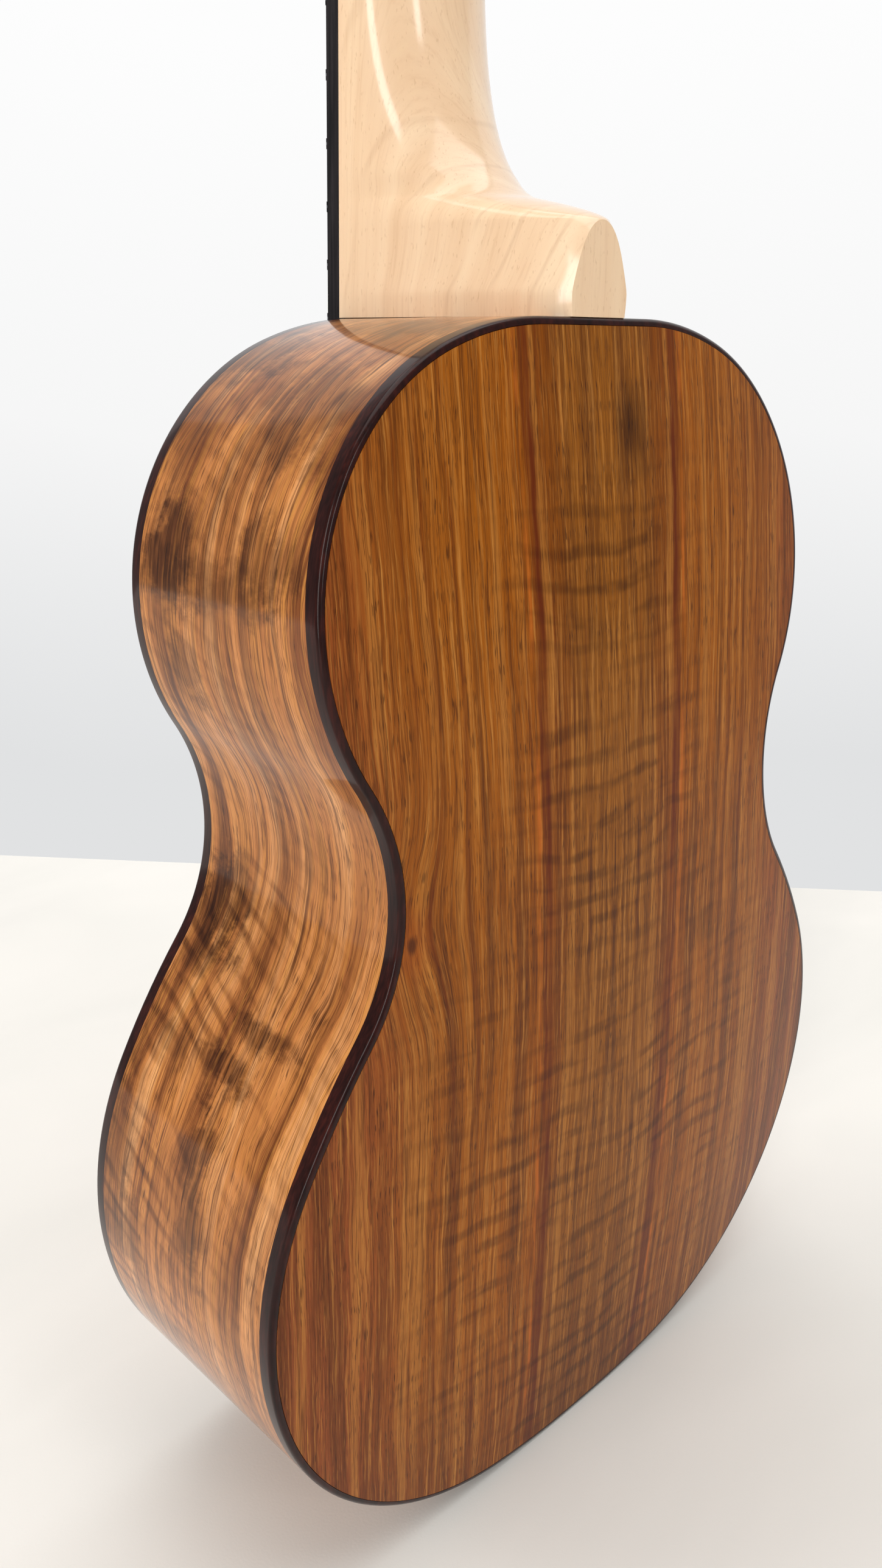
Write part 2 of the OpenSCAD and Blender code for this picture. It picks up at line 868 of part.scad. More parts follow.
module tuner_gear_a() {
    tuner_gear(a_string);
}

soundboard();
back_plate_bass();
back_plate_treble();
side_bass();
side_treble();
top_binding_bass();
top_binding_treble();
back_binding_bass();
back_binding_treble();
rosette();
neck_block();
tail_block();
end_graft();
top_lining_bass();
top_lining_treble();
back_lining_bass();
back_lining_treble();
back_brace_upper();
back_brace_middle();
back_brace_lower();
back_seam_strips();
upper_top_brace();
lower_top_brace();
fan_brace_bass();
fan_brace_centre();
fan_brace_treble();
bridge_plate();
bridge();
saddle();
neck();
neck_bolt();
neck_insert();
headstock_veneer();
fretboard();
frets();
fret_markers();
nut();
string_g();
string_c();
string_e();
string_a();
tuner_plates();
tuner_bushings();
tuner_screws();
tuner_worm_g();
tuner_worm_c();
tuner_worm_e();
tuner_worm_a();
tuner_button_g();
tuner_button_c();
tuner_button_e();
tuner_button_a();
tuner_post_g();
tuner_post_c();
tuner_post_e();
tuner_post_a();
tuner_gear_g();
tuner_gear_c();
tuner_gear_e();
tuner_gear_a();
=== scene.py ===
"""Concert ukulele standing on its tail, seen from behind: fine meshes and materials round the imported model."""

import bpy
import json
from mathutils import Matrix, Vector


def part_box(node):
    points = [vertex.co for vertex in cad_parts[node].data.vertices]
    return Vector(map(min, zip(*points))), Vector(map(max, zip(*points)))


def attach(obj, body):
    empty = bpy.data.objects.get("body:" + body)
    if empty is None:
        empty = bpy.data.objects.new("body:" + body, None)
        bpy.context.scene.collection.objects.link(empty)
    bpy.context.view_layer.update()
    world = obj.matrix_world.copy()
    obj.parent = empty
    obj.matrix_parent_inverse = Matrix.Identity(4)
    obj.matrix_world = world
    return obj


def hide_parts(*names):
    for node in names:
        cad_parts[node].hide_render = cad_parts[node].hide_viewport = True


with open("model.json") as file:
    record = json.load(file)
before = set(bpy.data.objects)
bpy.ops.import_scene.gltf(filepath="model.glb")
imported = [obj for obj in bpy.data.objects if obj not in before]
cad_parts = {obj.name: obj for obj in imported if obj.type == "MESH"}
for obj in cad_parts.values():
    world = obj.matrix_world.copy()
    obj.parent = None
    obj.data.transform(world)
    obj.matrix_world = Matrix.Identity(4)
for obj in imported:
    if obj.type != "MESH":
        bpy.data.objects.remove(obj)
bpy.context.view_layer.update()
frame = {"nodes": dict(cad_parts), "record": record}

import json
import math

import bmesh
import bpy
from mathutils import Matrix, Vector

MM = 0.001

# ---- Design dimensions, in millimetres: the same rules as the model's source ----

TAIL_HALF = 6
# Each stretch of the half outline: its radius, negative where it bends outwards, and its turn
STRETCHES = [(197, 8), (79, 110.5), (182, 9.5), (-45.5, 69), (55.5, 101), (79, 20)]
DOME_R = 1275
DOME_Z = 94
SIDE_T = 1.6
BIND_H = 3.6
PLATE_T = 2
JOIN_HALF = 21.4
NUT_HALF = 17.5
HEEL_DEPTH = 58
HEAD_TILT = math.radians(12)
HEAD_LEN = 126
HEAD_T = 11
VENEER_T = 1.5
NUT_T = 4.5
HOLE_R = 28
POST_X = 16.5
POST_HOLE_R = 3.9
POST_ROWS = (34, 82)

TOP_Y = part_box("top_binding_treble")[0].y / MM
BODY_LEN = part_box("top_binding_treble")[1].z / MM
NUT_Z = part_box("fretboard")[1].z / MM
BOARD_END_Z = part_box("fretboard")[0].z / MM
BOARD_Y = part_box("fretboard")[0].y / MM
HEAD_Z = NUT_Z + NUT_T
SCALE_LEN = 2 * (NUT_Z - BODY_LEN)
DOME_Y = (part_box("back_plate_treble")[1].y) / MM
HOLE_Z = (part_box("rosette")[0].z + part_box("rosette")[1].z) / 2 / MM


# ---- Mesh helpers ----

def finish_mesh(name, bm, material, smooth_deg=35):
    """Turns a bmesh in millimetres into a smooth-shaded object in metres."""
    bmesh.ops.remove_doubles(bm, verts=bm.verts, dist=0.0005)
    bmesh.ops.recalc_face_normals(bm, faces=bm.faces)
    bmesh.ops.scale(bm, vec=(MM, MM, MM), verts=bm.verts)
    mesh = bpy.data.meshes.new(name)
    bm.to_mesh(mesh)
    bm.free()
    mesh.shade_smooth()
    mesh.set_sharp_from_angle(angle=math.radians(smooth_deg))
    mesh.materials.append(material)
    obj = bpy.data.objects.new(name, mesh)
    bpy.context.scene.collection.objects.link(obj)
    return obj


def add_grid(bm, rows, closed=False):
    """Adds faces between rows of points, and returns the rows of vertices."""
    verts = [[bm.verts.new(p) for p in row] for row in rows]
    for low, high in zip(verts, verts[1:]):
        count = len(low)
        for k in range(count if closed else count - 1):
            corners = [low[k], low[(k + 1) % count], high[(k + 1) % count], high[k]]
            if len({tuple(round(c, 5) for c in v.co) for v in corners}) > 2:
                bm.faces.new(corners)
    return verts


def add_shell(bm, outer, inner):
    """A closed skin between two grids of points of the same size."""
    out = add_grid(bm, outer)
    inn = add_grid(bm, inner)
    rim = [(0, k) for k in range(len(out[0]))]
    rim += [(i, len(out[0]) - 1) for i in range(1, len(out))]
    rim += [(len(out) - 1, k) for k in range(len(out[0]) - 2, -1, -1)]
    rim += [(i, 0) for i in range(len(out) - 2, 0, -1)]
    for (i, k), (j, m) in zip(rim, rim[1:] + rim[:1]):
        bm.faces.new([out[i][k], out[j][m], inn[j][m], inn[i][k]])


def add_tube(bm, rings):
    """A closed solid through rings of points, with a face over each end."""
    verts = add_grid(bm, rings, closed=True)
    bm.faces.new(verts[0])
    bm.faces.new(verts[-1])
    return verts


def bezier(points, t):
    p0, p1, p2, p3 = (Vector(p) for p in points)
    return tuple((1 - t) ** 3 * p0 + 3 * t * (1 - t) ** 2 * p1 + 3 * t * t * (1 - t) * p2 + t ** 3 * p3)


def place(obj, node_names, body="root"):
    """The piece stands for CAD nodes and rides on a body."""
    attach(obj, body)
    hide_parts(*node_names)
    return obj


# ---- Body outline and dome ----

def half_outline(step=1.5):
    """Points of the +X half as (x, z, outward x, outward z, distance along), from tail to neck."""
    x, z, heading, along = TAIL_HALF, 0.0, 0.0, float(TAIL_HALF)
    points = [(0.0, 0.0, 0.0, -1.0, 0.0), (x, z, 0.0, -1.0, along)]
    for radius, turn in STRETCHES:
        sign = math.copysign(1, radius)
        cx = x - radius * math.sin(math.radians(heading))
        cz = z + radius * math.cos(math.radians(heading))
        steps = math.ceil(turn / step)
        for k in range(1, steps + 1):
            h = math.radians(heading + sign * turn * k / steps)
            along_k = along + abs(radius) * math.radians(turn) * k / steps
            points.append((cx + radius * math.sin(h), cz - radius * math.cos(h), math.sin(h), -math.cos(h), along_k))
        x, z = points[-1][:2]
        along = points[-1][4]
        heading += sign * turn
    points.append((0.0, z, 0.0, 1.0, along + x))
    return points


OUTLINE = half_outline()


def dome_y(x, z, depth=0.0):
    return DOME_Y - DOME_R + math.sqrt((DOME_R - depth) ** 2 - x * x - (z - DOME_Z) ** 2)


def inset_point(point, inset):
    return point[0] - point[2] * inset, point[1] - point[3] * inset


def build_back(name, side, material):
    """One of the two matched halves of the domed back."""
    columns = 28
    outer, inner = [], []
    for point in OUTLINE[1:-1]:
        edge_x, z = inset_point(point, SIDE_T)
        xs = [edge_x * k / columns for k in range(columns + 1)]
        outer.append([(side * x, dome_y(x, z), z) for x in xs])
        inner.append([(side * x, dome_y(x, z, PLATE_T), z) for x in xs])
    bm = bmesh.new()
    add_shell(bm, outer, inner)
    return finish_mesh(name, bm, material)


def build_side(name, side, material):
    """One bent side, with its own grain coordinates: distance along, depth from the front."""
    columns = 16
    outer, inner, grain = [], [], []
    for point in OUTLINE[1:]:
        for rows, inset in ((outer, 0.0), (inner, SIDE_T)):
            x, z = inset_point(point, inset)
            y0, y1 = TOP_Y + BIND_H, dome_y(x, z, BIND_H)
            rows.append([(side * x, y0 + (y1 - y0) * k / columns, z) for k in range(columns + 1)])
        grain.append(point[4])
    bm = bmesh.new()
    layer = bm.verts.layers.float_vector.new("grain")
    add_shell(bm, outer, inner)
    bm.verts.ensure_lookup_table()
    per_skin = len(grain) * (columns + 1)
    for index, vert in enumerate(bm.verts):
        along = grain[(index % per_skin) // (columns + 1)]
        vert[layer] = (along * MM, (vert.co.y - TOP_Y) * MM, 0.0)
    return finish_mesh(name, bm, material)


def binding_profile(round_r=1.0, ease=0.15):
    """Closed section of a binding as (inset from the side, depth below the plate's face)."""
    corner = [(round_r - round_r * math.cos(a), round_r - round_r * math.sin(a))
              for a in (math.radians(15 * k) for k in range(7))]
    return [(0.0, BIND_H)] + corner + [(SIDE_T - ease, 0.0), (SIDE_T, ease), (SIDE_T, BIND_H)]


def build_binding(name, side, is_back, material):
    """A rounded strip bent round half of the body's edge."""
    rings = []
    for point in OUTLINE:
        ring = []
        for inset, depth in binding_profile():
            x, z = inset_point(point, inset)
            y = dome_y(x, z) - depth if is_back else TOP_Y + depth
            ring.append((side * x, y, z))
        rings.append(ring)
    bm = bmesh.new()
    add_tube(bm, rings)
    return finish_mesh(name, bm, material, smooth_deg=40)


def flat_plate(name, loops, y_front, thickness, material, bevel=0.0):
    """A flat plate across Y with holes: the first loop is the outside, in X and Z."""
    curve = bpy.data.curves.new(name, "CURVE")
    curve.dimensions = "2D"
    curve.fill_mode = "BOTH"
    curve.extrude = (thickness / 2 - bevel) * MM
    curve.bevel_depth = bevel * MM
    curve.offset = -bevel * MM
    curve.bevel_resolution = 3
    for loop in loops:
        spline = curve.splines.new("POLY")
        spline.points.add(len(loop) - 1)
        for spline_point, (x, z) in zip(spline.points, loop):
            spline_point.co = (x * MM, z * MM, 0.0, 1.0)
        spline.use_cyclic_u = True
    source = bpy.data.objects.new(name + "_curve", curve)
    bpy.context.scene.collection.objects.link(source)
    bpy.context.view_layer.update()
    mesh = bpy.data.meshes.new_from_object(source.evaluated_get(bpy.context.evaluated_depsgraph_get()))
    bpy.data.objects.remove(source)
    middle = (y_front + thickness / 2) * MM
    mesh.transform(Matrix.Translation((0, middle, 0)) @ Matrix.Rotation(math.pi / 2, 4, "X"))
    mesh.name = name
    mesh.materials.clear()
    mesh.materials.append(material)
    mesh.shade_smooth()
    mesh.set_sharp_from_angle(angle=math.radians(40))
    obj = bpy.data.objects.new(name, mesh)
    bpy.context.scene.collection.objects.link(obj)
    return obj


def build_soundboard(material):
    half = [inset_point(p, SIDE_T) for p in OUTLINE[1:-1]]
    outside = half + [(-x, z) for x, z in reversed(half)]
    hole = [(HOLE_R * math.cos(a), HOLE_Z + HOLE_R * math.sin(a))
            for a in (2 * math.pi * k / 120 for k in range(120))]
    return flat_plate("soundboard_top", [outside, hole], TOP_Y, PLATE_T, material, bevel=0.0)


# ---- Neck, heel and headstock ----

CAP_RIDGE = [(0, 63.2), (8, 65), (13.5, 62.3), (18.6, 58)]
BROW_RIDGE = [(18.6, 58), (19.9, 56.9), (22, 48.2), (24.2, 37.2)]
THROAT_RIDGE = [(24.2, 37.2), (26, 30), (36, 15.3), (70, 13.6)]
TO_NUT = [(110, 12.9), (150, 12.6), (NUT_Z - BODY_LEN, 12.4), (NUT_Z - BODY_LEN + 5, 12.4),
          (NUT_Z - BODY_LEN + 12, 12.2)]


def heel_pinch(up):
    """How far the heel's section narrows towards its ridge."""
    return 0.2 * max(0.0, 1 - ((up - 17) / 12) ** 2)


def board_half(z):
    return JOIN_HALF + (JOIN_HALF - NUT_HALF) * (BODY_LEN - z) / (NUT_Z - BODY_LEN)


def neck_ridge():
    """The ridge of the neck's back as (height above the body, depth below the fretboard)."""
    ridge = [bezier(CAP_RIDGE, k / 24) for k in range(25)]
    for curve in (BROW_RIDGE, THROAT_RIDGE):
        ridge += [bezier(curve, k / 24) for k in range(1, 25)]
    return ridge + TO_NUT


def build_neck_shaft(material):
    """Shaft and heel in one, cut flat where the heel meets the back's edge."""
    rings = []
    for up, depth in neck_ridge():
        z = BODY_LEN + up
        half = board_half(min(z, NUT_Z)) - max(0.0, z - NUT_Z) * 0.25
        flat = max(0.0, (z - HEAD_Z) * math.tan(HEAD_TILT))
        pinch = heel_pinch(up)
        rings.append([(half * math.sin(a) * (1 - pinch * math.cos(a)), TOP_Y + flat + (depth - flat) * math.cos(a), z)
                      for a in (math.radians(-90 + 3 * k) for k in range(61))])
    bm = bmesh.new()
    add_tube(bm, rings)
    cut = bmesh.ops.bisect_plane(bm, geom=bm.verts[:] + bm.edges[:] + bm.faces[:],
                                 plane_co=(0, TOP_Y + HEEL_DEPTH, 0), plane_no=(0, 1, 0), clear_outer=True)
    edges = [e for e in cut["geom_cut"] if isinstance(e, bmesh.types.BMEdge)]
    bmesh.ops.holes_fill(bm, edges=edges)
    return finish_mesh("neck_shaft", bm, material, smooth_deg=30)


HEAD_FLARE = [(18, 0), (21, 12), (27.5, 12), (28, 30)]
HEAD_FLANK = [(28, 30), (28.5, 60), (30, 90), (31, HEAD_LEN - 12)]
HEAD_CROWN = [(31, HEAD_LEN - 12), (31.4, HEAD_LEN - 4), (16, HEAD_LEN - 7), (0, HEAD_LEN)]


def head_outline():
    half = []
    for curve in (HEAD_FLARE, HEAD_FLANK, HEAD_CROWN):
        half += [bezier(curve, k / 20) for k in range(20)]
    return half + [(0, HEAD_LEN)] + [(-x, z) for x, z in reversed(half)]


def to_head(obj):
    """Moves a piece made round the origin into the headstock's tilted frame."""
    lift = Matrix.Translation((0, TOP_Y * MM, HEAD_Z * MM))
    obj.data.transform(lift @ Matrix.Rotation(-HEAD_TILT, 4, "X"))
    return obj


def drill_posts(plate):
    """Cuts the holes for the four string posts through a headstock plate, before it is tilted."""
    cutter_mesh = bpy.data.meshes.new("post_drill")
    drill = bmesh.new()
    for side in (-1, 1):
        for z in POST_ROWS:
            at = Matrix.Translation((side * POST_X * MM, 0, z * MM)) @ Matrix.Rotation(math.pi / 2, 4, "X")
            bmesh.ops.create_cone(drill, cap_ends=True, segments=72, radius1=POST_HOLE_R * MM,
                                  radius2=POST_HOLE_R * MM, depth=60 * MM, matrix=at)
    drill.to_mesh(cutter_mesh)
    drill.free()
    cutter = bpy.data.objects.new("post_drill", cutter_mesh)
    bpy.context.scene.collection.objects.link(cutter)
    cut = plate.modifiers.new("posts", "BOOLEAN")
    cut.operation = "DIFFERENCE"
    cut.solver = "EXACT"
    cut.object = cutter
    bpy.context.view_layer.update()
    drilled = bpy.data.meshes.new_from_object(plate.evaluated_get(bpy.context.evaluated_depsgraph_get()))
    plate.modifiers.clear()
    plate.data = drilled
    bpy.data.objects.remove(cutter)
    return plate


# ---- Fretboard and frets ----

def fret_z(n):
    return NUT_Z - SCALE_LEN * (1 - 2 ** (-n / 12))


def build_fretboard(material):
    """The tapered board, its playing edges rounded over."""
    ease = 0.35
    corner = [(ease * (1 - math.sin(a)), ease * (1 - math.cos(a))) for a in (math.radians(15 * k) for k in range(7))]
    rows = []
    for z, sink in ((BOARD_END_Z, ease), (BOARD_END_Z + 0.1, 0.1), (BOARD_END_Z + ease, 0.0), (NUT_Z, 0.0)):
        half = board_half(z)
        right = [(half - inset, BOARD_Y + drop + sink) for inset, drop in corner]
        face = [(-x, y) for x, y in reversed(right)] + right
        rows.append([(x, y, z) for x, y in [(-half, TOP_Y)] + face + [(half, TOP_Y)]])
    bm = bmesh.new()
    add_tube(bm, rows)
    return finish_mesh("fretboard_wood", bm, material, smooth_deg=30)


def build_frets(count, material):
    """Crowned wires with dressed ends, one across the board at each fret."""
    crown_w, crown_h, tang = 1.1, 1.0, 0.28
    bm = bmesh.new()
    for n in range(1, count + 1):
        z = fret_z(n)
        half = board_half(z) - 0.02
        rings = []
        for k in range(25):
            x = half * math.sin(math.radians(7.5 * k - 90))
            end = min(1.0, (half - abs(x)) / 1.3 + 0.04)
            y = BOARD_Y
            arc = [(crown_w * math.cos(a), -crown_h * end * math.sin(a))
                   for a in (math.radians(18 * j) for j in range(11))]
            ring = [(x, y + dy, z + dz) for dz, dy in arc]
            ring += [(x, y + 0.02, z - tang), (x, y + 1.4, z - tang), (x, y + 1.4, z + tang), (x, y + 0.02, z + tang)]
            rings.append(ring)
        add_tube(bm, rings)
    return finish_mesh("fret_wires", bm, material, smooth_deg=40)


# ---- Tuner buttons ----

BUTTON_SHAPE = [(0, 2.6, 2.6), (0.5, 3.0, 3.0), (2, 3.3, 3.0), (3.6, 4.8, 3.1), (5.2, 6.7, 3.2), (7, 7.7, 3.2),
                (9, 8.0, 3.2), (11, 7.6, 3.15), (12.8, 6.5, 3.0), (14.1, 4.6, 2.5), (14.8, 2.4, 1.6), (15, 0.6, 0.5)]


def build_button(string, material):
    """A flattened oval button on the end of a worm's shaft, built along X from its CAD box."""
    low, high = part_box("tuner_button_" + string)
    centre_y, centre_z = (low.y + high.y) / 2 / MM, (low.z + high.z) / 2 / MM
    outwards = math.copysign(1, low.x + high.x)
    start = (low.x if outwards > 0 else high.x) / MM
    rings = []
    for reach, half_z, half_y in BUTTON_SHAPE:
        ring = []
        for k in range(40):
            a = 2 * math.pi * k / 40
            c, s = math.cos(a), math.sin(a)
            power = 0.8
            ring.append((start + outwards * reach,
                         centre_y + half_y * math.copysign(abs(s) ** power, s),
                         centre_z + half_z * math.copysign(abs(c) ** power, c)))
        rings.append(ring)
    bm = bmesh.new()
    add_tube(bm, rings)
    obj = finish_mesh("button_" + string, bm, material, smooth_deg=60)
    smooth = obj.modifiers.new("smooth", "SUBSURF")
    smooth.levels = smooth.render_levels = 1
    return obj


# ---- Materials ----

class Graph:
    """Short calls for building one material's nodes. Sizes in the patterns are in millimetres."""

    def __init__(self, name):
        self.material = bpy.data.materials.new(name)
        self.material.use_nodes = True
        self.tree = self.material.node_tree
        self.tree.nodes.clear()

    def node(self, kind, **settings):
        made = self.tree.nodes.new(kind)
        for key, value in settings.items():
            setattr(made, key, value)
        return made

    def feed(self, socket, value):
        if isinstance(value, bpy.types.NodeSocket):
            self.tree.links.new(value, socket)
        else:
            socket.default_value = value

    def math(self, operation, a, b=0.0, clamp=False):
        made = self.node("ShaderNodeMath", operation=operation, use_clamp=clamp)
        self.feed(made.inputs[0], a)
        self.feed(made.inputs[1], b)
        return made.outputs[0]

    def add(self, a, b):
        return self.math("ADD", a, b)

    def mul(self, a, b):
        return self.math("MULTIPLY", a, b)

    def clamp_range(self, value, low, high, to_low=0.0, to_high=1.0):
        made = self.node("ShaderNodeMapRange", clamp=True, interpolation_type="SMOOTHSTEP")
        for socket, given in zip(made.inputs, (value, low, high, to_low, to_high)):
            self.feed(socket, given)
        return made.outputs[0]

    def bump_at(self, value, centre, width):
        """1 where value is at centre, falling smoothly to 0 at a distance of width."""
        away = self.math("ABSOLUTE", self.add(value, -centre))
        return self.clamp_range(away, 0.0, width, 1.0, 0.0)

    def vector(self, x, y, z=0.0):
        made = self.node("ShaderNodeCombineXYZ")
        for socket, given in zip(made.inputs, (x, y, z)):
            self.feed(socket, given)
        return made.outputs[0]

    def noise(self, x, y, z=0.0, size=(1, 1, 1), detail=2.0, rough=0.5, distort=0.0):
        """Noise with cells of the given size in millimetres, from 0 to 1."""
        scaled = [self.mul(v, 1 / s) if isinstance(v, bpy.types.NodeSocket) else v for v, s in zip((x, y, z), size)]
        made = self.node("ShaderNodeTexNoise")
        self.feed(made.inputs["Vector"], self.vector(*scaled))
        made.inputs["Scale"].default_value = 1.0
        made.inputs["Detail"].default_value = detail
        made.inputs["Roughness"].default_value = rough
        made.inputs["Distortion"].default_value = distort
        return made.outputs["Fac"]

    def mix(self, factor, a, b, blend="MIX"):
        made = self.node("ShaderNodeMix", data_type="RGBA", blend_type=blend)
        self.feed(made.inputs[0], factor)
        self.feed(made.inputs[6], a)
        self.feed(made.inputs[7], b)
        return made.outputs[2]

    def ramp(self, factor, stops):
        made = self.node("ShaderNodeValToRGB")
        elements = made.color_ramp.elements
        while len(elements) < len(stops):
            elements.new(0.5)
        for element, (position, colour) in zip(elements, stops):
            element.position = position
            element.color = colour
        self.feed(made.inputs[0], factor)
        return made.outputs[0]

    def place_mm(self):
        """X, Y and Z of the surface in millimetres."""
        split = self.node("ShaderNodeSeparateXYZ")
        self.tree.links.new(self.node("ShaderNodeTexCoord").outputs["Object"], split.inputs[0])
        return [self.mul(socket, 1 / MM) for socket in split.outputs]

    def attribute_mm(self, name):
        split = self.node("ShaderNodeSeparateXYZ")
        source = self.node("ShaderNodeAttribute", attribute_name=name)
        self.tree.links.new(source.outputs["Vector"], split.inputs[0])
        return [self.mul(socket, 1 / MM) for socket in split.outputs]

    def surface(self, colour, roughness, height=None, bump=0.2, bump_mm=0.1, metal=0.0, coat=0.0,
                coat_rough=0.05, coat_ior=1.5, specular=0.5, scatter=0.0):
        shader = self.node("ShaderNodeBsdfPrincipled")
        self.feed(shader.inputs["Base Color"], colour)
        self.feed(shader.inputs["Roughness"], roughness)
        shader.inputs["Metallic"].default_value = metal
        shader.inputs["Specular IOR Level"].default_value = specular
        shader.inputs["Coat Weight"].default_value = coat
        shader.inputs["Coat Roughness"].default_value = coat_rough
        shader.inputs["Coat IOR"].default_value = coat_ior
        if scatter:
            shader.inputs["Subsurface Weight"].default_value = scatter
            shader.inputs["Subsurface Radius"].default_value = (0.004, 0.002, 0.001)
        if height is not None:
            relief = self.node("ShaderNodeBump")
            relief.inputs["Strength"].default_value = bump
            relief.inputs["Distance"].default_value = bump_mm * MM
            self.feed(relief.inputs["Height"], height)
            self.tree.links.new(relief.outputs[0], shader.inputs["Normal"])
        output = self.node("ShaderNodeOutputMaterial")
        self.tree.links.new(shader.outputs[0], output.inputs["Surface"])
        return self.material


def srgb(red, green, blue):
    """A colour as its 0 to 255 display values, made linear."""
    linear = [v / 255 / 12.92 if v <= 10 else ((v / 255 + 0.055) / 1.055) ** 2.4 for v in (red, green, blue)]
    return (*linear, 1.0)


def figured_wood(g, base, across, along, seed, strength=1.0):
    """Lays an acacia's streaks, fibres and short dark pores over a base colour, and gives relief and gloss."""
    jitter = g.mul(g.add(g.noise(across, along, seed + 9, size=(1.6, 11, 1), detail=2), -0.5), 0.8)
    run = g.add(across, jitter)
    broad = g.noise(across, along, seed, size=(3.4, 190, 1), detail=2)
    streak = g.noise(run, along, seed + 3, size=(0.9, 60, 1), detail=3, rough=0.6)
    strand = g.noise(run, along, seed + 13, size=(2.6, 150, 1), detail=2, rough=0.5)
    fibre = g.noise(run, along, seed + 5, size=(0.3, 15, 1), detail=3, rough=0.65)
    pore_noise = g.noise(run, along, seed + 7, size=(0.22, 4.2, 1), detail=1, rough=0.4)
    crowd = g.clamp_range(g.noise(across, along, seed + 11, size=(4, 45, 1), detail=2), 0.35, 0.62, 0.2, 1.0)
    pores = g.mul(g.clamp_range(pore_noise, 0.585, 0.67), crowd)
    gold, umber, pore_brown = srgb(196, 132, 60), srgb(84, 40, 8), srgb(60, 26, 4)
    colour = g.mix(g.clamp_range(broad, 0.5, 0.68, 0.0, 0.34 * strength), base, gold)
    colour = g.mix(g.clamp_range(broad, 0.52, 0.32, 0.0, 0.5 * strength), colour, umber)
    colour = g.mix(g.clamp_range(streak, 0.52, 0.7, 0.0, 0.6 * strength), colour, gold)
    colour = g.mix(g.clamp_range(streak, 0.48, 0.3, 0.0, 0.66 * strength), colour, umber)
    for level, reach, share in ((0.5, 0.018, 0.5), (0.41, 0.014, 0.62), (0.6, 0.012, 0.4)):
        colour = g.mix(g.mul(g.bump_at(strand, level, reach), share * strength), colour, umber)
    colour = g.mix(g.clamp_range(fibre, 0.52, 0.72, 0.0, 0.42 * strength), colour, gold)
    colour = g.mix(g.clamp_range(fibre, 0.48, 0.28, 0.0, 0.6 * strength), colour, umber)
    colour = g.mix(g.mul(pores, 0.7), colour, pore_brown)
    height = g.add(g.mul(pores, -1.0), g.mul(fibre, 0.25))
    return colour, height, g.mul(fibre, 0.12)


def curl_bars(g, across, climb, spacing, seed):
    """Wavy bars across the grain, dark at 1, each fading in and out."""
    wander = g.mul(g.noise(across, climb, seed, size=(34, 26, 1), detail=2), 1.9)
    phase = g.mul(g.add(g.mul(climb, 1 / spacing), wander), 2 * math.pi)
    wave = g.clamp_range(g.math("SINE", phase), -0.35, 1.0)
    fade = g.clamp_range(g.noise(across, climb, seed + 4, size=(15, 6, 1), detail=2), 0.36, 0.6)
    return g.mul(wave, fade)


# The back's growth lines: distance from the seam, width and strength
GROWTH_LINES = [
    (22.6, 2.0, 1.0), (24.2, 0.9, 0.9), (27.4, 0.6, 0.5), (19.2, 0.7, 0.5), (9.0, 0.6, 0.4), (13.4, 0.5, 0.35),
    (46.0, 0.8, 0.5), (53.0, 1.0, 0.55), (58.5, 0.7, 0.5),
]
# The back's smoky patches: place across and up, reach across and up, and strength
SMOKY_PATCHES = [(-9, 258, 9, 14, 0.75), (-38, 134, 9, 9, 0.35), (6, 215, 8, 8, 0.25)]
KNOT_X = 63.0
KNOT_Z = 161.0


